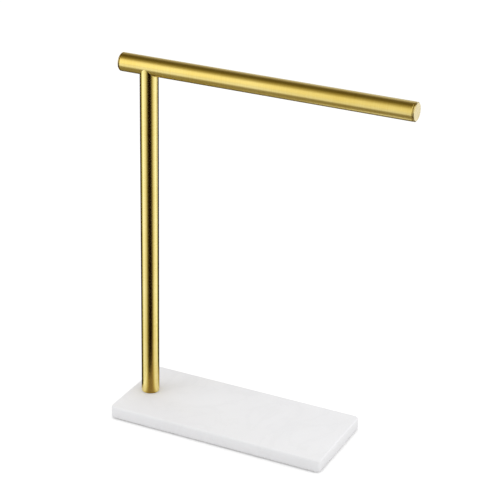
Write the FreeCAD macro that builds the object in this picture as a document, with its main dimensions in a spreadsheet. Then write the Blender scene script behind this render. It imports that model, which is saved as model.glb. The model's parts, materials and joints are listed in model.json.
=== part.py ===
import FreeCAD, Part
import os
import Sketcher

# Countertop towel stand: one tube post on a stone slab carries one horizontal tube bar.
# The post's top is coped to the bar, and a screw hidden inside the post pulls the bar into that saddle.
# Millimetres. X runs along the bar, Y across the slab, Z up.
# The origin is on the counter, under the middle of the bar.

SIZES = [
    # stone slab
    ("slab_length", 242, "slab along the bar"),
    ("slab_width", 104, "slab across the bar"),
    ("slab_thickness", 13, "slab from underside to top"),
    ("slab_corner_radius", 5, "upright corners"),
    ("slab_top_round", 1.5, "soft edge round the top"),
    ("slab_bottom_chamfer", 0.8, "broken edge round the underside"),
    ("post_inset", 20, "post axis from the slab's left end"),
    # pads under the slab
    ("pad_diameter", 16, "non-slip pad"),
    ("pad_thickness", 1.5, "non-slip pad"),
    ("pad_chamfer", 0.4, "pad's lower rim"),
    ("pad_inset", 14, "pad centre from the slab's sides"),
    # post and bar
    ("post_diameter", 19, "post tube, outside"),
    ("post_wall", 1.2, "post tube"),
    ("bar_diameter", 19, "bar tube, outside"),
    ("bar_wall", 1.2, "bar tube"),
    ("bar_length", 314, "bar over both end caps"),
    ("bar_overhang", 31, "post axis to the bar's left end"),
    ("bar_height", 363, "bar axis above the slab's top"),
    ("bar_end_break", 0.5, "broken edge at the bar tube's ends"),
    ("saddle_gap", 0.1, "coped post to bar"),
    ("gasket_thickness", 0.4, "ring between post and stone"),
    ("gasket_setback", 0.6, "gasket's rim inside the post's outside"),
    # plugs fixed in the post
    ("foot_plug_length", 18, "tapped plug in the post's foot"),
    ("saddle_plug_web", 9, "saddle plug on the post axis, under the bar"),
    ("plug_chamfer", 0.6, "lead-in of the plugs"),
    ("plug_fit", 0.05, "plug to post bore, on the radius"),
    # screw that holds the post on the slab
    ("base_thread", 6, "thread diameter"),
    ("base_engagement", 10.6, "thread inside the foot plug"),
    ("base_head_diameter", 10.5, "button head"),
    ("base_head_height", 3.3, "button head"),
    ("base_head_chamfer", 1.6, "button head's slope"),
    ("base_key", 4, "socket across flats"),
    ("base_key_depth", 2.1, "socket"),
    ("base_head_recess", 0.7, "head above the slab's underside"),
    ("base_washer_diameter", 18, "flat washer"),
    ("base_washer_thickness", 1.6, "flat washer"),
    ("base_spring_diameter", 11.8, "split spring washer"),
    ("base_spring_thickness", 1.6, "split spring washer"),
    ("base_hole_clearance", 0.5, "screw to stone, on the radius"),
    ("counterbore_clearance", 2, "flat washer to counterbore, on the radius"),
    # screw that holds the bar on the post
    ("bar_thread", 6, "thread diameter"),
    ("bar_engagement", 8, "thread inside the bar nut"),
    ("bar_head_diameter", 10, "cap head"),
    ("bar_head_height", 6, "cap head"),
    ("bar_head_chamfer", 0.6, "cap head's rim"),
    ("bar_key", 5, "socket across flats"),
    ("bar_key_depth", 3, "socket"),
    ("bar_spring_diameter", 10, "split spring washer"),
    ("bar_spring_thickness", 1.6, "split spring washer"),
    ("bar_hole_clearance", 0.3, "screw to plug and bar wall, on the radius"),
    # fits shared by both screws
    ("thread_fit", 0.05, "screw to tapped hole, on the radius"),
    ("washer_fit", 0.2, "screw to washer, on the radius"),
    ("screw_tip_chamfer", 0.8, "screw points"),
    ("spring_turn", 350, "degrees of ring left by a spring washer's split"),
    # slug inside the bar
    ("bar_nut_length", 20, "along the bar"),
    ("bar_nut_fit", 0.1, "slug to bar bore, on the radius"),
    ("bar_nut_tip_room", 2, "tapped hole past the screw's point"),
    # end caps
    ("cap_flange", 2, "cap outside the tube"),
    ("cap_chamfer", 0.8, "cap's outer rim"),
    ("cap_seat", 0.4, "cap's bearing on the tube's end, on the radius"),
    ("cap_relief", 0.8, "shadow groove between cap and tube"),
    ("cap_spigot", 8, "cap inside the tube"),
    ("cap_fit", 0.05, "spigot to bar bore, on the radius"),
]

# Places and sizes worked out from the sheet, as expressions
POST_X = "(Sizes.bar_overhang - Sizes.bar_length / 2)"
SLAB_TOP = "(Sizes.pad_thickness + Sizes.slab_thickness)"
BAR_AXIS = f"({SLAB_TOP} + Sizes.bar_height)"
POST_RISE = "(Sizes.bar_height - Sizes.gasket_thickness)"
POST_FOOT = f"({SLAB_TOP} + Sizes.gasket_thickness)"
POST_BORE = "(Sizes.post_diameter / 2 - Sizes.post_wall)"
BAR_BORE = "(Sizes.bar_diameter / 2 - Sizes.bar_wall)"
COPE_RADIUS = "(Sizes.bar_diameter / 2 + Sizes.saddle_gap)"
PLUG_RADIUS = f"({POST_BORE} - Sizes.plug_fit)"
NUT_RADIUS = f"({BAR_BORE} - Sizes.bar_nut_fit)"

BASE_HEAD_BOTTOM = "(Sizes.pad_thickness + Sizes.base_head_recess)"
BASE_SPRING_BOTTOM = f"({BASE_HEAD_BOTTOM} + Sizes.base_head_height)"
BASE_WASHER_BOTTOM = f"({BASE_SPRING_BOTTOM} + Sizes.base_spring_thickness)"
COUNTERBORE_TOP = f"({BASE_WASHER_BOTTOM} + Sizes.base_washer_thickness)"
COUNTERBORE_DEPTH = f"({COUNTERBORE_TOP} - Sizes.pad_thickness)"
COUNTERBORE_RADIUS = "(Sizes.base_washer_diameter / 2 + Sizes.counterbore_clearance)"
BASE_SCREW_LENGTH = f"({POST_FOOT} + Sizes.base_engagement - {BASE_SPRING_BOTTOM})"

SADDLE_PLUG_LENGTH = f"(Sizes.saddle_plug_web + {COPE_RADIUS})"
SADDLE_PLUG_BOTTOM = f"({BAR_AXIS} - {SADDLE_PLUG_LENGTH})"
BAR_SPRING_BOTTOM = f"({SADDLE_PLUG_BOTTOM} - Sizes.bar_spring_thickness)"
BAR_HEAD_BOTTOM = f"({BAR_SPRING_BOTTOM} - Sizes.bar_head_height)"
BAR_SCREW_LENGTH = f"({BAR_AXIS} - {NUT_RADIUS} + Sizes.bar_engagement - {BAR_SPRING_BOTTOM})"
BAR_TUBE_LENGTH = "(Sizes.bar_length - 2 * Sizes.cap_flange)"

# Turns that lay a body's own Z axis along the bar
TOWARDS_RIGHT = FreeCAD.Rotation(FreeCAD.Vector(0, 1, 0), 90)
TOWARDS_LEFT = FreeCAD.Rotation(FreeCAD.Vector(0, 1, 0), -90)

# Sketch elements: the points of a line or circle, the two axes, and the origin
START, END, CENTRE = range(1, 4)
HORIZONTAL_AXIS, VERTICAL_AXIS = range(-1, -3, -1)
ORIGIN_POINT = (HORIZONTAL_AXIS, START)
HEX_SIDES = 6
NEAR = 1e-4

doc = FreeCAD.newDocument("TowelStand")
sheet = doc.addObject("Spreadsheet::Sheet", "Sizes")
for row, (alias, size, meaning) in enumerate(SIZES, start=1):
    sheet.set(f"A{row}", meaning)
    sheet.set(f"B{row}", str(size))
    sheet.setAlias(f"B{row}", alias)
doc.recompute()


def value(expression):
    return float(sheet.evalExpression(expression))


def new_body(label, x=POST_X, y="0", z="0", turn=None):
    body = doc.addObject("PartDesign::Body", label)
    body.Label = label
    if turn:
        body.Placement = FreeCAD.Placement(FreeCAD.Vector(), turn)
    for axis, expression in (("x", x), ("y", y), ("z", z)):
        body.setExpression(f"Placement.Base.{axis}", expression)
    return body


def new_sketch(body, role, name, offset=None):
    plane = next(item for item in body.Origin.OriginFeatures if item.Role == role)
    sketch = body.newObject("Sketcher::SketchObject", name)
    sketch.AttachmentSupport = [(plane, "")]
    sketch.MapMode = "FlatFace"
    if offset:
        sketch.setExpression("AttachmentOffset.Base.z", offset)
    return sketch


def bind(sketch, constraint, expression):
    index = sketch.addConstraint(constraint)
    sketch.setExpression(f"Constraints[{index}]", expression)


def pin_point(sketch, line, end, x, y):
    """Hold one end of a line at x, y from the sketch's origin."""
    for kind, expression, axis in (("DistanceX", x, VERTICAL_AXIS), ("DistanceY", y, HORIZONTAL_AXIS)):
        if expression == "0":
            sketch.addConstraint(Sketcher.Constraint("PointOnObject", line, end, axis))
        else:
            distance = Sketcher.Constraint(kind, *ORIGIN_POINT, line, end, value(expression))
            bind(sketch, distance, expression)


def close_loop(sketch, points):
    """Straight lines from point to point and back to the first."""
    count = len(points)
    for index in range(count):
        sketch.addGeometry(Part.LineSegment(points[index], points[(index + 1) % count]))
    for index in range(count):
        sketch.addConstraint(Sketcher.Constraint("Coincident", index, END, (index + 1) % count, START))


def outline(sketch, corners):
    """Closed run of straight lines through corners given as expressions."""
    points = [FreeCAD.Vector(value(x), value(y), 0) for x, y in corners]
    close_loop(sketch, points)
    for index, (x, y) in enumerate(corners):
        pin_point(sketch, index, START, x, y)


def circle(sketch, radius, height="0"):
    """Circle on the sketch's vertical axis."""
    middle = FreeCAD.Vector(0, value(height), 0)
    index = sketch.addGeometry(Part.Circle(middle, FreeCAD.Vector(0, 0, 1), value(radius)))
    pin_point(sketch, index, CENTRE, "0", height)
    bind(sketch, Sketcher.Constraint("Radius", index, value(radius)), radius)


def hexagon(sketch, flats):
    """Hexagon round the origin, given across flats."""
    reach = f"{flats} / sqrt(3)"
    upright = FreeCAD.Vector(0, 0, 1)
    spoke = FreeCAD.Vector(value(reach), 0, 0)
    turns = [FreeCAD.Rotation(upright, 360 / HEX_SIDES * step) for step in range(HEX_SIDES)]
    close_loop(sketch, [turn.multVec(spoke) for turn in turns])
    ring = sketch.addGeometry(Part.Circle(FreeCAD.Vector(), upright, value(reach)), True)
    sketch.addConstraint(Sketcher.Constraint("Coincident", ring, CENTRE, *ORIGIN_POINT))
    bind(sketch, Sketcher.Constraint("Radius", ring, value(reach)), reach)
    sketch.addConstraint(Sketcher.Constraint("PointOnObject", 0, START, HORIZONTAL_AXIS))
    for side in range(HEX_SIDES):
        sketch.addConstraint(Sketcher.Constraint("PointOnObject", side, START, ring))
        if side:
            sketch.addConstraint(Sketcher.Constraint("Equal", 0, side))


def pad(body, sketch, length, symmetric=False):
    feature = body.newObject("PartDesign::Pad", "Pad")
    feature.Profile = sketch
    feature.setExpression("Length", length)
    feature.Midplane = symmetric
    doc.recompute()
    return feature


def cut(body, sketch, length=None, reverse=False, symmetric=False):
    """Pocket of a given depth, or right through where no length is given."""
    before = body.Shape.Volume
    feature = body.newObject("PartDesign::Pocket", "Pocket")
    feature.Profile = sketch
    if length:
        feature.setExpression("Length", length)
    else:
        feature.Type = "ThroughAll"
    feature.Reversed = reverse
    feature.Midplane = symmetric
    doc.recompute()
    if body.Shape.Volume > before - NEAR:
        raise RuntimeError(f"{body.Label}: a pocket cut nothing")
    return feature


def revolve(body, sketch, turn="360"):
    feature = body.newObject("PartDesign::Revolution", "Revolution")
    feature.Profile = sketch
    feature.ReferenceAxis = (sketch, ["V_Axis"])
    feature.setExpression("Angle", turn)
    doc.recompute()
    return feature


def edges_at(feature, height):
    """Names of the edges that lie flat at a height of the body."""
    level = value(height)
    names = []
    for index, edge in enumerate(feature.Shape.Edges, start=1):
        box = edge.BoundBox
        if abs(box.ZMin - level) < NEAR and abs(box.ZMax - level) < NEAR:
            names.append(f"Edge{index}")
    return names


def upright_edges(feature):
    names = []
    for index, edge in enumerate(feature.Shape.Edges, start=1):
        box = edge.BoundBox
        if box.ZLength > NEAR and box.XLength < NEAR and box.YLength < NEAR:
            names.append(f"Edge{index}")
    return names


def widest_edges(feature, names):
    """Of the named edges, those of the outer rim."""
    width = {name: feature.Shape.getElement(name).BoundBox.DiagonalLength for name in names}
    return [name for name in names if width[name] > max(width.values()) - NEAR]


def dress(body, kind, feature, names, size):
    """Fillet or chamfer on named edges of a feature."""
    dressing = body.newObject(f"PartDesign::{kind}", kind)
    dressing.Base = (feature, names)
    dressing.setExpression("Radius" if kind == "Fillet" else "Size", size)
    doc.recompute()
    return dressing


def base_slab():
    body = new_body("base_slab", z="Sizes.pad_thickness")
    left, right = "-Sizes.post_inset", "Sizes.slab_length - Sizes.post_inset"
    front, back = "-Sizes.slab_width / 2", "Sizes.slab_width / 2"
    plan = new_sketch(body, "XY_Plane", "SlabPlan")
    outline(plan, [(left, front), (right, front), (right, back), (left, back)])
    block = pad(body, plan, "Sizes.slab_thickness")
    corners = dress(body, "Fillet", block, upright_edges(block), "Sizes.slab_corner_radius")
    top = dress(body, "Fillet", corners, edges_at(corners, "Sizes.slab_thickness"), "Sizes.slab_top_round")
    dress(body, "Chamfer", top, edges_at(top, "0"), "Sizes.slab_bottom_chamfer")
    counterbore = new_sketch(body, "XY_Plane", "Counterbore")
    circle(counterbore, COUNTERBORE_RADIUS)
    cut(body, counterbore, COUNTERBORE_DEPTH, reverse=True)
    hole = new_sketch(body, "XY_Plane", "ScrewHole")
    circle(hole, "Sizes.base_thread / 2 + Sizes.base_hole_clearance")
    cut(body, hole, reverse=True)
    return body


def foot_pad(label, x, y):
    body = new_body(label, x=x, y=y)
    disc = new_sketch(body, "XY_Plane", "Disc")
    circle(disc, "Sizes.pad_diameter / 2")
    block = pad(body, disc, "Sizes.pad_thickness")
    dress(body, "Chamfer", block, edges_at(block, "0"), "Sizes.pad_chamfer")
    return body


def foot_pads():
    sides = {
        "left": f"{POST_X} - Sizes.post_inset + Sizes.pad_inset",
        "right": f"{POST_X} - Sizes.post_inset + Sizes.slab_length - Sizes.pad_inset",
    }
    rows = {
        "front": "Sizes.pad_inset - Sizes.slab_width / 2",
        "rear": "Sizes.slab_width / 2 - Sizes.pad_inset",
    }
    return [
        foot_pad(f"foot_pad_{row}_{side}", x, y)
        for row, y in rows.items() for side, x in sides.items()
    ]


def flat_ring(label, bore, radius, thickness, z):
    body = new_body(label, z=z)
    ring = new_sketch(body, "XY_Plane", "Ring")
    circle(ring, bore)
    circle(ring, radius)
    pad(body, ring, thickness)
    return body


def spring_ring(label, bore, radius, thickness, z):
    """Spring washer pressed flat, with its split."""
    body = new_body(label, z=z)
    section = new_sketch(body, "XZ_Plane", "Section")
    outline(section, [(bore, "0"), (radius, "0"), (radius, thickness), (bore, thickness)])
    revolve(body, section, "Sizes.spring_turn")
    return body


def socket_screw(name, length, z):
    """Screw that points up, with a hexagon socket in the underside of its head."""
    body = new_body(f"{name}_screw", z=z)
    head, thread = f"Sizes.{name}_head_diameter / 2", f"Sizes.{name}_thread / 2"
    shoulder, tip = f"Sizes.{name}_head_height", f"Sizes.{name}_head_height + {length}"
    point = "Sizes.screw_tip_chamfer"
    profile = new_sketch(body, "XZ_Plane", "Profile")
    outline(profile, [
        ("0", "0"), (head, "0"), (head, shoulder), (thread, shoulder),
        (thread, f"{tip} - {point}"), (f"{thread} - {point}", tip), ("0", tip),
    ])
    turned = revolve(body, profile)
    dress(body, "Chamfer", turned, edges_at(turned, "0"), f"Sizes.{name}_head_chamfer")
    socket = new_sketch(body, "XY_Plane", "Socket")
    hexagon(socket, f"Sizes.{name}_key")
    cut(body, socket, f"Sizes.{name}_key_depth", reverse=True)
    return body


def base_fixings():
    screw_hole = "Sizes.base_thread / 2 + Sizes.washer_fit"
    return [
        socket_screw("base", BASE_SCREW_LENGTH, BASE_HEAD_BOTTOM),
        spring_ring("base_spring_washer", screw_hole, "Sizes.base_spring_diameter / 2",
                    "Sizes.base_spring_thickness", BASE_SPRING_BOTTOM),
        flat_ring("base_flat_washer", screw_hole, "Sizes.base_washer_diameter / 2",
                  "Sizes.base_washer_thickness", BASE_WASHER_BOTTOM),
        flat_ring("post_gasket", "Sizes.base_thread / 2 + Sizes.base_hole_clearance",
                  "Sizes.post_diameter / 2 - Sizes.gasket_setback", "Sizes.gasket_thickness", SLAB_TOP),
    ]


def cope(body, height):
    """Saddle cut along the bar, its centre at a height of the body."""
    saddle = new_sketch(body, "YZ_Plane", "Saddle")
    circle(saddle, COPE_RADIUS, height)
    cut(body, saddle, symmetric=True)


def post_tube():
    body = new_body("post_tube", z=POST_FOOT)
    ring = new_sketch(body, "XY_Plane", "Ring")
    circle(ring, POST_BORE)
    circle(ring, "Sizes.post_diameter / 2")
    pad(body, ring, POST_RISE)
    cope(body, POST_RISE)
    return body


def post_foot_plug():
    body = new_body("post_foot_plug", z=POST_FOOT)
    ring = new_sketch(body, "XY_Plane", "Ring")
    circle(ring, "Sizes.base_thread / 2 + Sizes.thread_fit")
    circle(ring, PLUG_RADIUS)
    block = pad(body, ring, "Sizes.foot_plug_length")
    rim = widest_edges(block, edges_at(block, "Sizes.foot_plug_length"))
    dress(body, "Chamfer", block, rim, "Sizes.plug_chamfer")
    return body


def post_saddle_plug():
    body = new_body("post_saddle_plug", z=SADDLE_PLUG_BOTTOM)
    disc = new_sketch(body, "XY_Plane", "Disc")
    circle(disc, PLUG_RADIUS)
    block = pad(body, disc, SADDLE_PLUG_LENGTH)
    dress(body, "Chamfer", block, edges_at(block, "0"), "Sizes.plug_chamfer")
    cope(body, SADDLE_PLUG_LENGTH)
    hole = new_sketch(body, "XY_Plane", "ScrewHole")
    circle(hole, "Sizes.bar_thread / 2 + Sizes.bar_hole_clearance")
    cut(body, hole, reverse=True)
    return body


def bar_fixings():
    return [
        socket_screw("bar", BAR_SCREW_LENGTH, BAR_HEAD_BOTTOM),
        spring_ring("bar_spring_washer", "Sizes.bar_thread / 2 + Sizes.washer_fit",
                    "Sizes.bar_spring_diameter / 2", "Sizes.bar_spring_thickness", BAR_SPRING_BOTTOM),
    ]


def bar_tube():
    body = new_body("bar_tube", x="Sizes.cap_flange - Sizes.bar_length / 2", z=BAR_AXIS, turn=TOWARDS_RIGHT)
    ring = new_sketch(body, "XY_Plane", "Ring")
    circle(ring, BAR_BORE)
    circle(ring, "Sizes.bar_diameter / 2")
    tube = pad(body, ring, BAR_TUBE_LENGTH)
    rims = [rim for end in ("0", BAR_TUBE_LENGTH) for rim in widest_edges(tube, edges_at(tube, end))]
    dress(body, "Chamfer", tube, rims, "Sizes.bar_end_break")
    hole = new_sketch(body, "YZ_Plane", "ScrewHole")
    circle(hole, "Sizes.bar_thread / 2 + Sizes.bar_hole_clearance", "Sizes.bar_overhang - Sizes.cap_flange")
    cut(body, hole, reverse=True)
    return body


def bar_nut():
    body = new_body("bar_nut", z=BAR_AXIS, turn=TOWARDS_RIGHT)
    disc = new_sketch(body, "XY_Plane", "Disc")
    circle(disc, NUT_RADIUS)
    pad(body, disc, "Sizes.bar_nut_length", symmetric=True)
    hole = new_sketch(body, "YZ_Plane", "TappedHole", offset=NUT_RADIUS)
    circle(hole, "Sizes.bar_thread / 2 + Sizes.thread_fit")
    cut(body, hole, "Sizes.bar_engagement + Sizes.bar_nut_tip_room")
    return body


def bar_end_cap(side, turn, sign):
    body = new_body(
        f"bar_end_cap_{side}", z=BAR_AXIS, turn=turn,
        x=f"{sign} * (Sizes.bar_length / 2 - Sizes.cap_flange - Sizes.cap_spigot)",
    )
    spigot, neck, rim = f"{BAR_BORE} - Sizes.cap_fit", f"{BAR_BORE} + Sizes.cap_seat", "Sizes.bar_diameter / 2"
    shoulder, lip = "Sizes.cap_spigot", "Sizes.cap_spigot + Sizes.cap_relief"
    face = "Sizes.cap_spigot + Sizes.cap_flange"
    profile = new_sketch(body, "XZ_Plane", "Profile")
    outline(profile, [
        ("0", "0"), (spigot, "0"), (spigot, shoulder), (neck, shoulder), (neck, lip),
        (rim, lip), (rim, f"{face} - Sizes.cap_chamfer"), (f"{rim} - Sizes.cap_chamfer", face), ("0", face),
    ])
    revolve(body, profile)
    return body


def check(bodies):
    doc.recompute()
    failed = [item.Name for item in doc.Objects if {"Invalid", "Error"} & set(item.State)]
    failed += [body.Label for body in bodies if body.Shape.isNull() or not body.Shape.isValid()]
    failed += [body.Label for body in bodies if len(body.Shape.Solids) != 1]
    if failed:
        raise RuntimeError(f"not built: {failed}")


bodies = [
    base_slab(), *foot_pads(), *base_fixings(),
    post_tube(), post_foot_plug(), post_saddle_plug(), *bar_fixings(),
    bar_tube(), bar_nut(),
    bar_end_cap("left", TOWARDS_LEFT, "-1"), bar_end_cap("right", TOWARDS_RIGHT, "1"),
]
check(bodies)

os.makedirs("parts", exist_ok=True)
for body in bodies:
    body.Shape.exportStep(f"parts/{body.Label}.step")
    box = body.Shape.optimalBoundingBox()
    print(f"{body.Label}: {body.Shape.Volume:.1f} mm3, x {box.XMin:.2f} to {box.XMax:.2f}, "
          f"y {box.YMin:.2f} to {box.YMax:.2f}, z {box.ZMin:.2f} to {box.ZMax:.2f}")
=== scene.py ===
import json
import math
import bmesh
import bpy
from mathutils import Matrix, Vector


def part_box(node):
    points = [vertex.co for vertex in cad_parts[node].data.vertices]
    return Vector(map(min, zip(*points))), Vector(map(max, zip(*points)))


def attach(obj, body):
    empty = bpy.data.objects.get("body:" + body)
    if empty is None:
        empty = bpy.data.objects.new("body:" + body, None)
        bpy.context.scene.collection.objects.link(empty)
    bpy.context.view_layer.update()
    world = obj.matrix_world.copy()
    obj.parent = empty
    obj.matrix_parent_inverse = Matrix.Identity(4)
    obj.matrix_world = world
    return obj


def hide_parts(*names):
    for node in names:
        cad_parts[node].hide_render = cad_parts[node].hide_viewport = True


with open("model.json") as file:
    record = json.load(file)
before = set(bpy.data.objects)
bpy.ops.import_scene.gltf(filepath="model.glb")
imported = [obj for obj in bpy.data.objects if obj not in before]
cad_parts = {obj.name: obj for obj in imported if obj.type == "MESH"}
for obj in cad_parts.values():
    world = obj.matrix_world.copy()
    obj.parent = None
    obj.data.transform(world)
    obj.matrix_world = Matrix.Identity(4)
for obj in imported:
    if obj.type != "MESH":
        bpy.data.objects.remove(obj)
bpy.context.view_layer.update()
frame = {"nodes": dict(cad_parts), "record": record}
nodes = frame["nodes"]
mm = 0.001
mergeGap = 0.0001 * mm    # points closer than this are one point
print("frame loaded:", len(nodes), "CAD nodes")


# sRGB hex to linear, for every colour in this file
def colour(hexText):
    parts = [int(hexText[i:i + 2], 16) / 255 for i in (1, 3, 5)]
    return [p / 12.92 if p <= 0.04045 else ((p + 0.055) / 1.055) ** 2.4 for p in parts] + [1.0]


# adds one node: values for its sockets, links into them, a ramp's stops as (place, hex), and its settings
def addNode(tree, kind, values=None, links=None, stops=(), **settings):
    made = tree.nodes.new("ShaderNode" + kind)
    for name, value in settings.items():
        setattr(made, name, value)
    for socket, value in (values or {}).items():
        made.inputs[socket].default_value = value
    for socket, source in (links or {}).items():
        tree.links.new(source, made.inputs[socket])
    if stops:
        band = made.color_ramp.elements
        while len(band) < len(stops):
            band.new(0.5)
        for element, (place, hexText) in zip(band, stops):
            element.position = place
            element.color = colour(hexText)
    return made


def newMaterial(name):
    material = bpy.data.materials.new(name)
    material.use_nodes = True
    material.node_tree.nodes.clear()
    return material, material.node_tree


# edges sharper than the angle stay crisp
def smooth(mesh, angle):
    mesh.shade_smooth()
    mesh.set_sharp_from_angle(angle=math.radians(angle))


# an object with a mesh from points and faces
def newPiece(name, points, faces, place, smoothAngle=32):
    mesh = bpy.data.meshes.new(name)
    mesh.from_pydata(points, [], faces)
    shape = bmesh.new()
    shape.from_mesh(mesh)
    bmesh.ops.remove_doubles(shape, verts=shape.verts, dist=mergeGap)
    bmesh.ops.recalc_face_normals(shape, faces=shape.faces)
    shape.to_mesh(mesh)
    shape.free()
    smooth(mesh, smoothAngle)
    piece = bpy.data.objects.new(name, mesh)
    bpy.context.scene.collection.objects.link(piece)
    piece.matrix_world = place
    return piece


# a flat sheet between two opposite (x, y) corners
def newSheet(name, low, high, place):
    corners = [(low[0], low[1], 0), (high[0], low[1], 0), (high[0], high[1], 0), (low[0], high[1], 0)]
    return newPiece(name, corners, [(0, 1, 2, 3)], place)


# turns a profile of (radius, height) round the local Z axis
# a ring's profile closes on itself, a plug's starts and ends at radius 0
def turned(profile, sides, ring=True, heightAt=None):
    points, faces = [], []
    count = len(profile)
    for i in range(sides):
        angle = 2 * math.pi * i / sides
        for row, (radius, height) in enumerate(profile):
            x, y = radius * math.cos(angle), radius * math.sin(angle)
            points.append((x, y, heightAt(row, y, height) if heightAt else height))
    spans = count if ring else count - 1
    for i in range(sides):
        here, there = i * count, (i + 1) % sides * count
        for row in range(spans):
            after = (row + 1) % count
            faces.append((here + row, there + row, there + after, here + after))
    return points, faces


# gives a piece its finish, and lets it ride in its CAD node's stead
def dress(piece, material, node):
    piece.data.materials.clear()
    piece.data.materials.append(material)
    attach(piece, "root")
    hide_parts(node)


gold = {
    "tubeTones": ("#FFEDA6", "#F5DD86"),    # the coating where it is thinner and thicker
    "capTones": ("#FBEDBE", "#F6E4AC"),    # the cap's tones, paler than the tubes'
    "grooveShadeTone": "#BBA463",    # painted shade: the groove behind the cap's rim is coloured darker than the cap
    "grooveShadeFade": 0.05 * mm,
    "postFinish": {"roughness": 0.21, "anisotropy": 0.93},    # crisp streaks
    "barFinish": {"roughness": 0.30, "anisotropy": 0.45},    # a worn belt leaves it softer than the post
    "capFinish": {"roughness": 0.24, "anisotropy": 0.86},
    "spreadTurn": 0.25,    # a quarter turn from the belt's lines: light spreads along the tube
    "roughnessSpread": 0.008,
    "lineSpacing": 0.6 * mm,    # belt lines are about 0.1 mm apart, drawn coarser to show from close by
    "lineLength": 120,    # in line spacings
    "lineDepth": 0.006 * mm, "lineBump": 0.5,
    "lineRange": (0.3, 0.7),    # the part of the lines' noise that changes the roughness
    "cloudSize": 60 * mm,
    "lineWeight": 2.2, "toneRange": (1.25, 1.95),    # lines count more than clouds in the coating's tone
}


# Stainless tube brushed round its girth on a belt, with a gold coating on top: light runs out along the tube
# and stays sharp across it, so each lamp and shadow becomes a long streak.
def brushedGold(name, tones, finish, grooveShadeFrom=None):
    material, tree = newMaterial(name)
    place = addNode(tree, "TexCoord").outputs["Object"]
    if grooveShadeFrom:    # a turned cap has its lines as rings
        apart = addNode(tree, "SeparateXYZ", links={0: place})
        squares = [addNode(tree, "Math", {1: 2.0}, {0: apart.outputs[i]}, operation="POWER") for i in (0, 1)]
        total = addNode(tree, "Math", links={0: squares[0].outputs[0], 1: squares[1].outputs[0]})
        radius = addNode(tree, "Math", links={0: total.outputs[0]}, operation="SQRT")
        place = addNode(tree, "CombineXYZ", links={2: radius.outputs[0]}).outputs[0]
    across = 1 / gold["lineSpacing"]
    along = across / gold["lineLength"]
    stretched = addNode(tree, "Mapping", {"Scale": (along, along, across)}, {"Vector": place})
    lines = addNode(tree, "TexNoise", {"Scale": 1.0, "Detail": 5.0, "Roughness": 0.75},
                    {"Vector": stretched.outputs[0]})
    clouds = addNode(tree, "TexNoise", {"Scale": 1 / gold["cloudSize"], "Detail": 2.0}, {"Vector": place})
    mixed = addNode(tree, "Math", {1: gold["lineWeight"]},
                    {0: lines.outputs["Fac"], 2: clouds.outputs["Fac"]}, operation="MULTIPLY_ADD")
    least, most = gold["toneRange"]
    tone = addNode(tree, "MapRange", {"From Min": least, "From Max": most}, {"Value": mixed.outputs[0]})
    coat = addNode(tree, "ValToRGB", links={0: tone.outputs[0]}, stops=[(0.0, tones[1]), (1.0, tones[0])])
    # painted shade: inside the groove behind its rim the cap darkens to the groove's tone
    if grooveShadeFrom:
        grooveShadeFull = grooveShadeFrom - gold["grooveShadeFade"]
        shadedGroove = addNode(tree, "MapRange", {"From Min": grooveShadeFrom, "From Max": grooveShadeFull},
                       {"Value": apart.outputs[2]})
        coat = addNode(tree, "MixRGB", {2: colour(gold["grooveShadeTone"])},
                       {0: shadedGroove.outputs[0], 1: coat.outputs[0]})
    least, most = gold["lineRange"]
    rough = addNode(tree, "MapRange", {"From Min": least, "From Max": most,
                                       "To Min": finish["roughness"] - gold["roughnessSpread"],
                                       "To Max": finish["roughness"] + gold["roughnessSpread"]},
                    {"Value": lines.outputs["Fac"]})
    bump = addNode(tree, "Bump", {"Strength": gold["lineBump"], "Distance": gold["lineDepth"]},
                   {"Height": lines.outputs["Fac"]})
    girth = addNode(tree, "Tangent", direction_type="RADIAL", axis="Z")
    shader = addNode(tree, "BsdfPrincipled", {"Metallic": 1.0, "Anisotropic": finish["anisotropy"],
                                              "Anisotropic Rotation": gold["spreadTurn"]},
                     {"Base Color": coat.outputs[0], "Roughness": rough.outputs[0],
                      "Normal": bump.outputs[0], "Tangent": girth.outputs[0]})
    addNode(tree, "OutputMaterial", links={"Surface": shader.outputs[0]})
    return material


postGold = brushedGold("stainless_post_brushed_gold_coated", gold["tubeTones"], gold["postFinish"])
barGold = brushedGold("stainless_bar_brushed_gold_coated", gold["tubeTones"], gold["barFinish"])
print("tube materials ready")

stone = {
    "light": "#F1F1F3", "cloud": "#EFEFF1", "vein": "#EAEAEC",
    "ior": 1.5, "roughness": (0.45, 0.58),    # in a crystal's middle, and a crystal's width away from it
    "cloudSize": 70 * mm, "cloudRange": (0.35, 0.65),
    "veinSize": 110 * mm, "veinReach": 0.03, "veinShare": 0.35,    # veins follow the middle of their noise
    "grainSize": 0.9 * mm,    # calcite crystals, drawn a little coarse so that they show
    "grainDepth": 0.01 * mm, "grainBump": 0.3,
}


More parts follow.
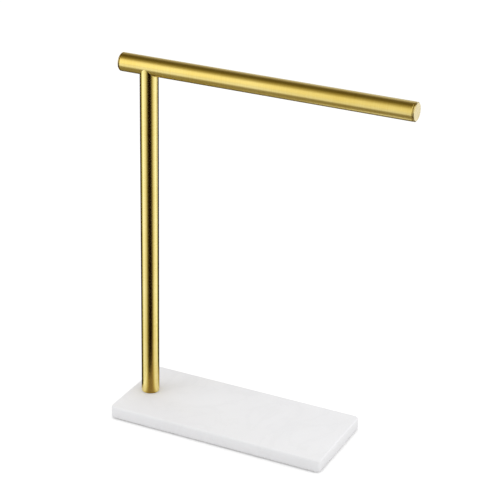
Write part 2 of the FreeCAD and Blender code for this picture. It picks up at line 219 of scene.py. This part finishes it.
# White marble sawn and honed flat: no mirror image, only a soft sheen that its crystals break up slightly.
def honedMarble(name):
    material, tree = newMaterial(name)
    place = addNode(tree, "TexCoord").outputs["Object"]
    clouds = addNode(tree, "TexNoise", {"Scale": 1 / stone["cloudSize"], "Detail": 5.0, "Roughness": 0.6,
                                        "Distortion": 0.6}, {"Vector": place})
    start, end = stone["cloudRange"]
    ground = addNode(tree, "ValToRGB", links={0: clouds.outputs["Fac"]},
                     stops=[(start, stone["cloud"]), (end, stone["light"])])
    drift = addNode(tree, "TexNoise", {"Scale": 1 / stone["veinSize"], "Detail": 8.0, "Roughness": 0.62,
                                       "Distortion": 1.4}, {"Vector": place})
    middle = addNode(tree, "Math", {1: 0.5}, {0: drift.outputs["Fac"]}, operation="SUBTRACT")
    nearness = addNode(tree, "Math", links={0: middle.outputs[0]}, operation="ABSOLUTE")
    veins = addNode(tree, "MapRange",
                    {"From Max": stone["veinReach"], "To Min": stone["veinShare"], "To Max": 0.0},
                    {"Value": nearness.outputs[0]})
    body = addNode(tree, "MixRGB", {2: colour(stone["vein"])}, {0: veins.outputs[0], 1: ground.outputs[0]})
    grain = addNode(tree, "TexVoronoi", {"Scale": 1 / stone["grainSize"]}, {"Vector": place})
    least, most = stone["roughness"]
    sheen = addNode(tree, "MapRange", {"To Min": least, "To Max": most},
                    {"Value": grain.outputs["Distance"]})
    bump = addNode(tree, "Bump", {"Strength": stone["grainBump"], "Distance": stone["grainDepth"]},
                   {"Height": grain.outputs["Distance"]})
    shader = addNode(tree, "BsdfPrincipled", {"IOR": stone["ior"]},
                     {"Base Color": body.outputs[0], "Roughness": sheen.outputs[0],
                      "Normal": bump.outputs[0]})
    addNode(tree, "OutputMaterial", links={"Surface": shader.outputs[0]})
    return material


marble = honedMarble("marble_white_honed")
print("stone material ready")

steel = {
    "light": "#C9CACC", "dark": "#B9BBBE", "toneRange": (0.3, 0.7),
    "roughness": 0.3,
    "markSize": 0.6 * mm,    # tool marks are finer, drawn coarser so that they show from close by
    "markDepth": 0.004 * mm, "markBump": 0.3,
}


# Plain stainless off the lathe: satin grey, with faint tool marks that break up its highlights.
def turnedSteel(name):
    material, tree = newMaterial(name)
    place = addNode(tree, "TexCoord").outputs["Object"]
    marks = addNode(tree, "TexNoise", {"Scale": 1 / steel["markSize"], "Detail": 3.0}, {"Vector": place})
    start, end = steel["toneRange"]
    tone = addNode(tree, "ValToRGB", links={0: marks.outputs["Fac"]},
                   stops=[(start, steel["dark"]), (end, steel["light"])])
    bump = addNode(tree, "Bump", {"Strength": steel["markBump"], "Distance": steel["markDepth"]},
                   {"Height": marks.outputs["Fac"]})
    shader = addNode(tree, "BsdfPrincipled", {"Metallic": 1.0, "Roughness": steel["roughness"]},
                     {"Base Color": tone.outputs[0], "Normal": bump.outputs[0]})
    addNode(tree, "OutputMaterial", links={"Surface": shader.outputs[0]})
    return material


fixingSteel = turnedSteel("stainless_turned_plain")

rubber = {
    "padTones": ("#3A3A3B", "#333334"), "gasketTones": ("#2B2B2B", "#262626"), "toneRange": (0.35, 0.65),
    "roughness": 0.62, "ior": 1.41,
    "pebbleSize": 0.5 * mm,    # the mould's pebble is finer, drawn coarser so that it shows from close by
    "pebbleDepth": 0.02 * mm, "pebbleBump": 0.4,
}


# Moulded silicone and rubber: matt and dark, with the faint pebble of the mould.
def mouldedRubber(name, tones):
    material, tree = newMaterial(name)
    place = addNode(tree, "TexCoord").outputs["Object"]
    pebble = addNode(tree, "TexNoise", {"Scale": 1 / rubber["pebbleSize"], "Detail": 2.0}, {"Vector": place})
    start, end = rubber["toneRange"]
    tone = addNode(tree, "ValToRGB", links={0: pebble.outputs["Fac"]},
                   stops=[(start, tones[1]), (end, tones[0])])
    bump = addNode(tree, "Bump", {"Strength": rubber["pebbleBump"], "Distance": rubber["pebbleDepth"]},
                   {"Height": pebble.outputs["Fac"]})
    shader = addNode(tree, "BsdfPrincipled", {"Roughness": rubber["roughness"], "IOR": rubber["ior"]},
                     {"Base Color": tone.outputs[0], "Normal": bump.outputs[0]})
    addNode(tree, "OutputMaterial", links={"Surface": shader.outputs[0]})
    return material


padSilicone = mouldedRubber("silicone_pad_moulded", rubber["padTones"])
gasketRubber = mouldedRubber("rubber_gasket_moulded", rubber["gasketTones"])
print("fixing and rubber materials ready")

# sizes that the CAD boxes give
postLow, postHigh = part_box("post_tube")
barLow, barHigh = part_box("bar_tube")
slabLow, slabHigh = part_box("base_slab")
postX = (postLow.x + postHigh.x) / 2
tubeRadius = (barHigh.z - barLow.z) / 2
barZ = (barHigh.z + barLow.z) / 2

drillBit = {"sides": 96, "past": 1 * mm, "sliver": 0.002 * mm, "smoothAngle": 25}


# cuts a turned profile on the post's axis out of a piece
def drill(piece, profile):
    points, faces = turned(profile, drillBit["sides"], ring=False)
    cutter = newPiece("cutter", points, faces, Matrix.Translation((postX, 0, 0)))
    cut = piece.modifiers.new("drill", "BOOLEAN")
    cut.operation, cut.solver, cut.object = "DIFFERENCE", "EXACT", cutter
    bpy.context.view_layer.update()
    drilled = bpy.data.meshes.new_from_object(piece.evaluated_get(bpy.context.evaluated_depsgraph_get()))
    shape = bmesh.new()
    shape.from_mesh(drilled)
    bmesh.ops.dissolve_degenerate(shape, edges=shape.edges, dist=drillBit["sliver"])
    shape.to_mesh(drilled)
    shape.free()
    piece.modifiers.clear()
    piece.data = drilled
    bpy.data.objects.remove(cutter)
    smooth(drilled, drillBit["smoothAngle"])


tube = {
    "wall": 1.2 * mm, "endBreak": 0.5 * mm, "footBreak": 0.2 * mm,
    "saddleClearance": 0.1 * mm, "barHoleRadius": 3.3 * mm,
    "sides": 192, "ringEvery": 12 * mm,
    "footRing": 4 * mm, "saddleRing": 2 * mm,    # how far the post's rings stay from its foot and saddle
}


# rings at about the same distance from start to end
def ringsAlong(start, end):
    count = max(2, round((end - start) / tube["ringEvery"]))
    return [start + (end - start) * i / count for i in range(count + 1)]


# the post: plain foot, and a top cut to lie round the bar
def buildPost():
    outer, inner, foot = tubeRadius, tubeRadius - tube["wall"], postLow.z
    cope = outer + tube["saddleClearance"]
    rings = ringsAlong(foot + tube["footRing"], barZ - cope - tube["saddleRing"])
    outside = [(outer - tube["footBreak"], foot), (outer, foot + tube["footBreak"])]
    outside += [(outer, z) for z in rings] + [(outer, barZ)]
    inside = [(inner, barZ)] + [(inner, z) for z in reversed(rings)] + [(inner, foot)]
    saddleRows = (len(outside) - 1, len(outside))

    def copeHeight(row, y, height):
        return barZ - math.sqrt(cope ** 2 - y ** 2) if row in saddleRows else height

    points, faces = turned(outside + inside, tube["sides"], heightAt=copeHeight)
    piece = newPiece("postTube", points, faces, Matrix.Translation((postX, 0, 0)))
    dress(piece, postGold, "post_tube")


# the bar: open tube along X with broken ends, and the screw's hole where it sits in the saddle
def buildBar():
    outer, inner, broken = tubeRadius, tubeRadius - tube["wall"], tube["endBreak"]
    start, end = barLow.x, barHigh.x
    outside = [(outer - broken, start)] + [(outer, x) for x in ringsAlong(start + broken, end - broken)]
    outside += [(outer - broken, end)]
    inside = [(inner, x) for x in reversed(ringsAlong(start, end))]
    points, faces = turned(outside + inside, tube["sides"])
    place = Matrix.Translation((0, 0, barZ)) @ Matrix.Rotation(math.radians(90), 4, "Y")
    piece = newPiece("barTube", points, faces, place)
    below, hole = barLow.z - drillBit["past"], tube["barHoleRadius"]
    drill(piece, [(0.0, below), (hole, below), (hole, barZ), (0.0, barZ)])
    dress(piece, barGold, "bar_tube")


cap = {
    "flange": 2.0 * mm, "chamfer": 0.8 * mm, "softEdge": 0.12 * mm, "spigotRadius": 8.25 * mm,
    "groove": 0.8 * mm, "grooveDepth": 0.8 * mm,    # shadow gap between the cap and the tube's end
    "sides": 160,
}
capLip = cap["groove"] - cap["flange"]    # the groove starts here, down from the cap's outer face
capGold = brushedGold("stainless_cap_turned_gold_coated", gold["capTones"], gold["capFinish"], capLip)


# an end cap, outer face up at local height 0
def buildCap(name, node, side):
    low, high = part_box(node)
    chamfer, soft = cap["chamfer"], cap["softEdge"]
    ease = soft / 4    # takes the last sharpness off the chamfer's edges
    rim, neck, spigot = tubeRadius, tubeRadius - cap["grooveDepth"], cap["spigotRadius"]
    behind, bottom = -cap["flange"], low.x - high.x
    profile = [(0.0, 0.0), (rim / 2, 0.0), (rim - chamfer - 2 * soft, 0.0), (rim - chamfer, -ease)]
    profile += [(rim - ease, -chamfer), (rim, -chamfer - soft)]
    profile += [(rim, capLip + soft), (rim - soft, capLip), (neck, capLip), (neck, behind)]
    profile += [(spigot, behind), (spigot, bottom), (0.0, bottom)]
    points, faces = turned(profile, cap["sides"], ring=False)
    outer = high.x if side > 0 else low.x
    place = Matrix.Translation((outer, 0, barZ)) @ Matrix.Rotation(math.radians(90 * side), 4, "Y")
    piece = newPiece(name, points, faces, place)
    dress(piece, capGold, node)


buildPost()
buildBar()
buildCap("barEndCapLeft", "bar_end_cap_left", -1)
buildCap("barEndCapRight", "bar_end_cap_right", 1)
print("tubes and caps built")

slab = {
    "corner": 5 * mm, "cornerSteps": 16,
    "topRound": 1.5 * mm, "roundSteps": 8,
    "chamfer": 0.8 * mm,
    "chamferShape": ((1.0, 0.0), (0.3, 0.45), (0.0, 1.3)),    # each point's way in and up, in chamfers
    "counterboreRadius": 11 * mm, "counterboreTop": 8.7 * mm, "holeRadius": 3.5 * mm,
}


# the stone slab: rings of one rounded rectangle, drawn in along the edge profile, then bored for the screw
def buildSlab():
    corner, topRound, chamfer = slab["corner"], slab["topRound"], slab["chamfer"]
    centre = (slabLow + slabHigh) / 2
    reachX, reachY = (slabHigh.x - slabLow.x) / 2 - corner, (slabHigh.y - slabLow.y) / 2 - corner
    edge = [(inward * chamfer, slabLow.z + up * chamfer) for inward, up in slab["chamferShape"]]
    for i in range(slab["roundSteps"] + 1):
        angle = math.radians(90 * i / slab["roundSteps"])
        edge.append((topRound * (1 - math.cos(angle)), slabHigh.z - topRound * (1 - math.sin(angle))))
    points, faces, corners = [], [], []
    for signX, signY, turn in ((1, 1, 0), (-1, 1, 90), (-1, -1, 180), (1, -1, 270)):
        for i in range(slab["cornerSteps"] + 1):
            corners.append((signX, signY, math.radians(turn + 90 * i / slab["cornerSteps"])))
    count = len(corners)
    for inset, z in edge:
        radius = corner - inset
        for signX, signY, angle in corners:
            points.append((centre.x + signX * reachX + radius * math.cos(angle),
                           centre.y + signY * reachY + radius * math.sin(angle), z))
    for row in range(len(edge) - 1):
        here, upper = row * count, (row + 1) * count
        for i in range(count):
            after = (i + 1) % count
            faces.append((here + i, here + after, upper + after, upper + i))
    faces.append(tuple(range(count - 1, -1, -1)))
    faces.append(tuple((len(edge) - 1) * count + i for i in range(count)))
    piece = newPiece("baseSlab", points, faces, Matrix.Identity(4))
    below, above = slabLow.z - drillBit["past"], slabHigh.z + drillBit["past"]
    wide, narrow, step = slab["counterboreRadius"], slab["holeRadius"], slab["counterboreTop"]
    drill(piece, [(0.0, below), (wide, below), (wide, step), (narrow, step), (narrow, above), (0.0, above)])
    dress(piece, marble, "base_slab")


buildSlab()
print("slab built")

pad = {
    "rim": 0.4 * mm, "rimEase": 0.3,    # how near the rim's middle point is to a sharp corner, in rims
    "rings": (2.2 * mm, 4.1 * mm, 6.0 * mm), "ringWidth": 0.9 * mm, "ringDepth": 0.3 * mm,
    "ringFloor": 0.4,    # the share of a ring's width that is flat
    "sides": 96, "smoothAngle": 50,
}


# a foot pad: soft rim, and rings pressed into its underside for grip
def buildPad(name, node):
    low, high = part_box(node)
    middle = (low + high) / 2
    radius, height = (high.x - low.x) / 2, high.z - low.z
    half, deep = pad["ringWidth"] / 2, pad["ringDepth"]
    flat = pad["ringFloor"] * half
    rim, ease = pad["rim"], pad["rimEase"] * pad["rim"]
    profile = [(0.0, 0.0)]
    for ring in pad["rings"]:
        profile += [(ring - half, 0.0), (ring - flat, deep), (ring + flat, deep), (ring + half, 0.0)]
    profile += [(radius - rim, 0.0), (radius - ease, ease), (radius, rim), (radius, height), (0.0, height)]
    points, faces = turned(profile, pad["sides"], ring=False)
    place = Matrix.Translation((middle.x, middle.y, low.z))
    piece = newPiece(name, points, faces, place, pad["smoothAngle"])
    dress(piece, padSilicone, node)


for corner in ("front_left", "front_right", "rear_left", "rear_right"):
    side, end = corner.split("_")
    buildPad("footPad" + side.capitalize() + end.capitalize(), "foot_pad_" + corner)
print("foot pads built")

# every CAD node gets its finish, and those that no piece replaces show their own solids
finishes = {"stone": marble, "gold_tube": postGold, "gold_cap": capGold,
            "pad_rubber": padSilicone, "gasket_rubber": gasketRubber, "fixings": fixingSteel}
for sub in frame["record"]["subparts"]:
    body = nodes[sub["node"]].data
    body.materials.clear()
    body.materials.append(finishes[sub["material_slot"]])
print("CAD nodes dressed")

stage = {
    "floorColour": "#E6E6E6", "floorSize": 12.0,
    "floorLift": 0.33, "contactShadeLift": 0.17, "contactReach": 4 * mm,    # lifted less close under the object: a painted contact shade
    "skyColour": "#FFFFFF", "ambient": 0.90,
}


# 1 for what the camera, a reflection or clear glass shows, and 0 for what only lights the object
def shownDirectly(tree):
    ray = addNode(tree, "LightPath").outputs
    seen = addNode(tree, "Math", links={0: ray["Is Camera Ray"], 1: ray["Is Glossy Ray"]})
    shown = addNode(tree, "Math", links={0: seen.outputs[0], 1: ray["Is Transmission Ray"]}, use_clamp=True)
    return shown.outputs[0]


# matt paper, lifted to white for the camera, that keeps the object's shadow; close under the object the lift
# drops, a painted contact shade
def buildFloor():
    half = stage["floorSize"] / 2
    floor = newSheet("floor", (-half, -half), (half, half), Matrix.Identity(4))
    material, tree = newMaterial("floor_paper_matt")
    # painted contact shade: where ambient occlusion finds the object close by, the lift falls and the floor
    # darkens
    room = addNode(tree, "AmbientOcclusion", {"Distance": stage["contactReach"]}, samples=8)
    level = addNode(tree, "MapRange", {"To Min": stage["contactShadeLift"], "To Max": stage["floorLift"]},
                    {"Value": room.outputs["AO"]})
    lift = addNode(tree, "Math", links={0: shownDirectly(tree), 1: level.outputs[0]}, operation="MULTIPLY")
    paper = addNode(tree, "BsdfDiffuse", {"Color": colour(stage["floorColour"])})
    glow = addNode(tree, "Emission", links={"Strength": lift.outputs[0]})
    both = addNode(tree, "AddShader", links={0: paper.outputs[0], 1: glow.outputs[0]})
    addNode(tree, "OutputMaterial", links={"Surface": both.outputs[0]})
    material.cycles.emission_sampling = "NONE"
    floor.data.materials.append(material)
    floor.visible_glossy = False    # metal sees the white world below it too


# white to the camera and in the metal, and a little less as the light on the object
def buildWorld():
    world = bpy.data.worlds.new("studio")
    bpy.context.scene.world = world
    world.use_nodes = True
    world.cycles.sampling_method = "NONE"
    tree = world.node_tree
    tree.nodes.clear()
    level = addNode(tree, "MapRange", {"To Min": stage["ambient"]}, {"Value": shownDirectly(tree)})
    sky = addNode(tree, "Background", {"Color": colour(stage["skyColour"])}, {"Strength": level.outputs[0]})
    addNode(tree, "OutputWorld", links={"Surface": sky.outputs[0]})


tent = {
    "radius": 10.0, "height": 0.2, "shellSides": 96, "shellStep": 5,    # the step is in degrees
    "turn": 30.0,    # the tent's closed front, in degrees from -Y towards +X; its back is closed too
    "gapsAt": (-71.8, 73.5),    # the middles of its two light gaps, in degrees from the closed front
    # cloth tones by the cosine of the angle from the nearer gap's middle
    "sideTones": [(0.55, "#140300"), (0.64, "#3E3014"), (0.715, "#6E6142"), (0.785, "#9A936C"),
                  (0.86, "#CECBAA"), (0.92, "#F1F0DC"), (0.95, "#FFFFFF")],
    # the sides darken by this tone between two heights on the unit sphere, and turn into it lower down
    "deepTone": "#867A59", "dusk": (-0.39, -0.66), "deep": (-0.72, -0.90),
    # the gaps glow a little, from the first angle off the closed front to the second
    "gapGlow": 0.56, "glowColour": "#BCD6FF", "glowFrom": (56, 80),
    # roof tones from the front to the back
    "roofTones": [(0.06, "#F5EECB"), (0.16, "#DDD4A8"), (0.24, "#C0B37F"), (0.32, "#9B8C55"),
                  (0.46, "#5E5022"), (0.64, "#5A4D20"), (0.76, "#898070"), (0.92, "#DAD7CE")],
    "roofSpan": (-1.2, 1.0),
    "roofSlope": (1.3, 0.3),    # how far the light front of the roof reaches round to the right and the left
    "notch": (8, 28),    # the roof is dark over the closed front, and clears between these angles from it
    "seam": (-0.22, 0.06),    # heights between which the sides turn into the roof
    "slabTone": "#9C8963", "slabGap": 0.6 * mm,
}


def onlyInMetal(piece):
    piece.visible_camera = piece.visible_diffuse = piece.visible_shadow = piece.visible_transmission = False


# a dark cloth tent with light gaps at its sides, and a veil over the slab, both seen only in the metal
def buildTent():
    radius = tent["radius"]
    arch = [math.radians(angle) for angle in range(-90, 91, tent["shellStep"])]
    profile = [(radius * math.cos(angle), radius * math.sin(angle)) for angle in arch]
    points, faces = turned(profile, tent["shellSides"], ring=False)
    shell = newPiece("reflectionTent", points, faces, Matrix.Translation((postX, 0, tent["height"])))
    shell.data.materials.append(tentCloth("tent_cloth_dark"))
    onlyInMetal(shell)
    low, high = ((corner.x - postX, corner.y) for corner in (slabLow, slabHigh))
    place = Matrix.Translation((postX, 0, slabHigh.z + tent["slabGap"]))
    veil = newSheet("reflectionVeil", low, high, place)
    veil.data.materials.append(veilCloth("tent_veil_over_slab"))
    onlyInMetal(veil)


# the tones of the tent's sides, and the cosine of the angle from its closed front
def sideTones(tree, place):
    turns = [math.radians(tent["turn"] + angle) for angle in (0.0, *tent["gapsAt"])]
    front, leftGap, rightGap = (Vector((math.sin(turn), -math.cos(turn), 0)) for turn in turns)
    level = addNode(tree, "VectorMath", {1: (1, 1, 0)}, {0: place}, operation="MULTIPLY")
    way = addNode(tree, "VectorMath", links={0: level.outputs[0]}, operation="NORMALIZE").outputs[0]
    ahead, toLeftGap, toRightGap = (
        addNode(tree, "VectorMath", {1: toward}, {0: way}, operation="DOT_PRODUCT").outputs["Value"]
        for toward in (front, leftGap, rightGap))
    nearGap = addNode(tree, "Math", links={0: toLeftGap, 1: toRightGap}, operation="MAXIMUM")
    sides = addNode(tree, "ValToRGB", links={0: nearGap.outputs[0]}, stops=tent["sideTones"])
    return sides, ahead


# Tent cloth: the white world comes through it in the cloth's tone, so dark cloth is a dark streak on metal.
def tentCloth(name):
    material, tree = newMaterial(name)
    place = addNode(tree, "TexCoord").outputs["Object"]
    sides, ahead = sideTones(tree, place)
    unit = addNode(tree, "VectorMath", links={0: place}, operation="NORMALIZE")
    x, y, z = addNode(tree, "SeparateXYZ", links={0: unit.outputs[0]}).outputs
    low = sides
    for part, blend in (("dusk", "MULTIPLY"), ("deep", "MIX")):
        start, end = tent[part]
        depth = addNode(tree, "MapRange", {"From Min": start, "From Max": end}, {"Value": z},
                        interpolation_type="SMOOTHSTEP")
        low = addNode(tree, "MixRGB", {2: colour(tent["deepTone"])},
                      {0: depth.outputs[0], 1: low.outputs[0]}, blend_type=blend)
    toRight, toLeft = tent["roofSlope"]
    rightSlope, leftSlope = (addNode(tree, "Math", {1: slope}, {0: x}, operation="MULTIPLY").outputs[0]
                             for slope in (-toRight, toLeft))
    slope = addNode(tree, "Math", links={0: rightSlope, 1: leftSlope}, operation="MINIMUM")
    slant = addNode(tree, "Math", links={0: y, 1: slope.outputs[0]})
    start, end = tent["roofSpan"]
    across = addNode(tree, "MapRange", {"From Min": start, "From Max": end}, {"Value": slant.outputs[0]})
    roof = addNode(tree, "ValToRGB", links={0: across.outputs[0]}, stops=tent["roofTones"])
    start, end = (math.cos(math.radians(angle)) for angle in tent["notch"])
    clear = addNode(tree, "MapRange", {"From Min": start, "From Max": end}, {"Value": ahead},
                    interpolation_type="SMOOTHSTEP")
    darkest = tent["sideTones"][0][1]
    high = addNode(tree, "MixRGB", {1: colour(darkest)}, {0: clear.outputs[0], 2: roof.outputs[0]})
    start, end = tent["seam"]
    upper = addNode(tree, "MapRange", {"From Min": start, "From Max": end}, {"Value": z},
                    interpolation_type="SMOOTHSTEP")
    cloth = addNode(tree, "MixRGB", links={0: upper.outputs[0], 1: low.outputs[0], 2: high.outputs[0]})
    through = addNode(tree, "BsdfTransparent", links={"Color": cloth.outputs[0]})
    lower = addNode(tree, "MapRange", {"From Min": end, "From Max": start}, {"Value": z},
                    interpolation_type="SMOOTHSTEP")
    start, end = (math.cos(math.radians(angle)) for angle in tent["glowFrom"])
    rise = addNode(tree, "MapRange", {"From Min": start, "From Max": end, "To Max": tent["gapGlow"]},
                   {"Value": ahead}, interpolation_type="SMOOTHSTEP")
    strength = addNode(tree, "Math", links={0: rise.outputs[0], 1: lower.outputs[0]}, operation="MULTIPLY")
    tint = addNode(tree, "MixRGB", {0: 1.0, 2: colour(tent["glowColour"])}, {1: low.outputs[0]},
                   blend_type="MULTIPLY")
    glow = addNode(tree, "Emission", links={"Color": tint.outputs[0], "Strength": strength.outputs[0]})
    both = addNode(tree, "AddShader", links={0: through.outputs[0], 1: glow.outputs[0]})
    addNode(tree, "OutputMaterial", links={"Surface": both.outputs[0]})
    material.cycles.emission_sampling = "NONE"
    return material


# The same cloth made lighter, for what the metal sees of the stone.
def veilCloth(name):
    material, tree = newMaterial(name)
    place = addNode(tree, "TexCoord").outputs["Object"]
    sides = sideTones(tree, place)[0]
    cloth = addNode(tree, "MixRGB", {0: 1.0, 2: colour(tent["slabTone"])}, {1: sides.outputs[0]},
                    blend_type="SCREEN")
    through = addNode(tree, "BsdfTransparent", links={"Color": cloth.outputs[0]})
    addNode(tree, "OutputMaterial", links={"Surface": through.outputs[0]})
    return material


cards = {    # white cards that glow by themselves, painted reflections seen only in the metal: their middles, what they face, and sizes across and up
    "cardEnd": {"at": (0.353, 0.412, 0.174), "faces": (0.157, 0, 0.377), "size": (0.32, 0.36), "glow": 0.9},
    "cardBack": {"at": (0.1, 0.7, 0.7), "faces": (0.1, 0, 0.7), "size": (0.8, 0.6), "glow": 0.6},
    "cardLeft": {"at": (-0.6, 0.215, 0.35), "faces": (-0.157, 0, 0.377), "size": (0.35, 0.2), "glow": 0.7},
}


def buildCards():
    for name, card in cards.items():
        wide, tall = (size / 2 for size in card["size"])
        at = Vector(card["at"])
        turn = (Vector(card["faces"]) - at).to_track_quat("Z", "Y").to_matrix().to_4x4()
        piece = newSheet(name, (-wide, -tall), (wide, tall), Matrix.Translation(at) @ turn)
        material, tree = newMaterial(name + "_glowing_white")
        # the card glows at a set strength instead of being lit: a painted reflection
        glow = addNode(tree, "Emission", {"Strength": card["glow"]})
        addNode(tree, "OutputMaterial", links={"Surface": glow.outputs[0]})
        material.cycles.emission_sampling = "NONE"
        piece.data.materials.append(material)
        onlyInMetal(piece)


lamps = {    # each softbox lights the stone, and a weaker one shows in its stead in the metal
    "softboxRight": {"azimuth": 100, "height": 0.36, "size": (0.56, 0.56), "watts": 1.75, "inMetal": False},
    "sheenRight": {"azimuth": 100, "height": 0.36, "size": (0.56, 0.56), "watts": 0.8, "inMetal": True},
    "softboxLeft": {"azimuth": -55, "height": 0.65, "size": (0.60, 0.70), "watts": 1.5, "inMetal": False},
    "sheenLeft": {"azimuth": -48, "height": 0.65, "size": (0.80, 0.70), "watts": 0.74, "inMetal": True},
}
lampStand = {"distance": 0.9, "aim": (0, 0, 0.15)}


def buildLamps():
    for name, lamp in lamps.items():
        light = bpy.data.lights.new(name, "AREA")
        light.shape = "RECTANGLE"
        light.size, light.size_y = lamp["size"]
        light.energy = lamp["watts"]
        box = bpy.data.objects.new(name, light)
        bpy.context.scene.collection.objects.link(box)
        turn, away = math.radians(lamp["azimuth"]), lampStand["distance"]
        box.location = (math.sin(turn) * away, -math.cos(turn) * away, lamp["height"])
        box.rotation_euler = (Vector(lampStand["aim"]) - box.location).to_track_quat("-Z", "Y").to_euler()
        box.visible_camera = False
        box.visible_diffuse = not lamp["inMetal"]
        box.visible_glossy = lamp["inMetal"]


buildFloor()
buildWorld()
buildTent()
buildCards()
buildLamps()
print("stage built")

# the photograph's view: azimuth from the front towards +X, elevation and roll in degrees
view = {
    "azimuth": 25.602, "elevation": 23.782, "roll": 1.249, "place": (0.65094, -1.38143, 0.87801),
    "focalPixels": 1667.7, "framePixels": 500, "sensor": 36.0,
}


def buildCamera():
    azimuth, elevation, roll = (math.radians(view[key]) for key in ("azimuth", "elevation", "roll"))
    level = math.cos(elevation)
    back = Vector((math.sin(azimuth) * level, -math.cos(azimuth) * level, math.sin(elevation)))
    right = (-back).cross(Vector((0, 0, 1))).normalized()
    up = back.cross(right)
    rolledRight = math.cos(roll) * right + math.sin(roll) * up
    rolledUp = math.cos(roll) * up - math.sin(roll) * right
    camera = bpy.data.cameras.new("photoView")
    camera.sensor_width = view["sensor"]
    camera.lens = view["focalPixels"] / view["framePixels"] * view["sensor"]
    holder = bpy.data.objects.new("photoView", camera)
    bpy.context.scene.collection.objects.link(holder)
    turn = Matrix((rolledRight, rolledUp, back)).transposed().to_4x4()
    holder.matrix_world = Matrix.Translation(view["place"]) @ turn
    bpy.context.scene.camera = holder


buildCamera()
bpy.context.scene.view_settings.view_transform = "Standard"
print("camera set")

bpy.context.view_layer.update()
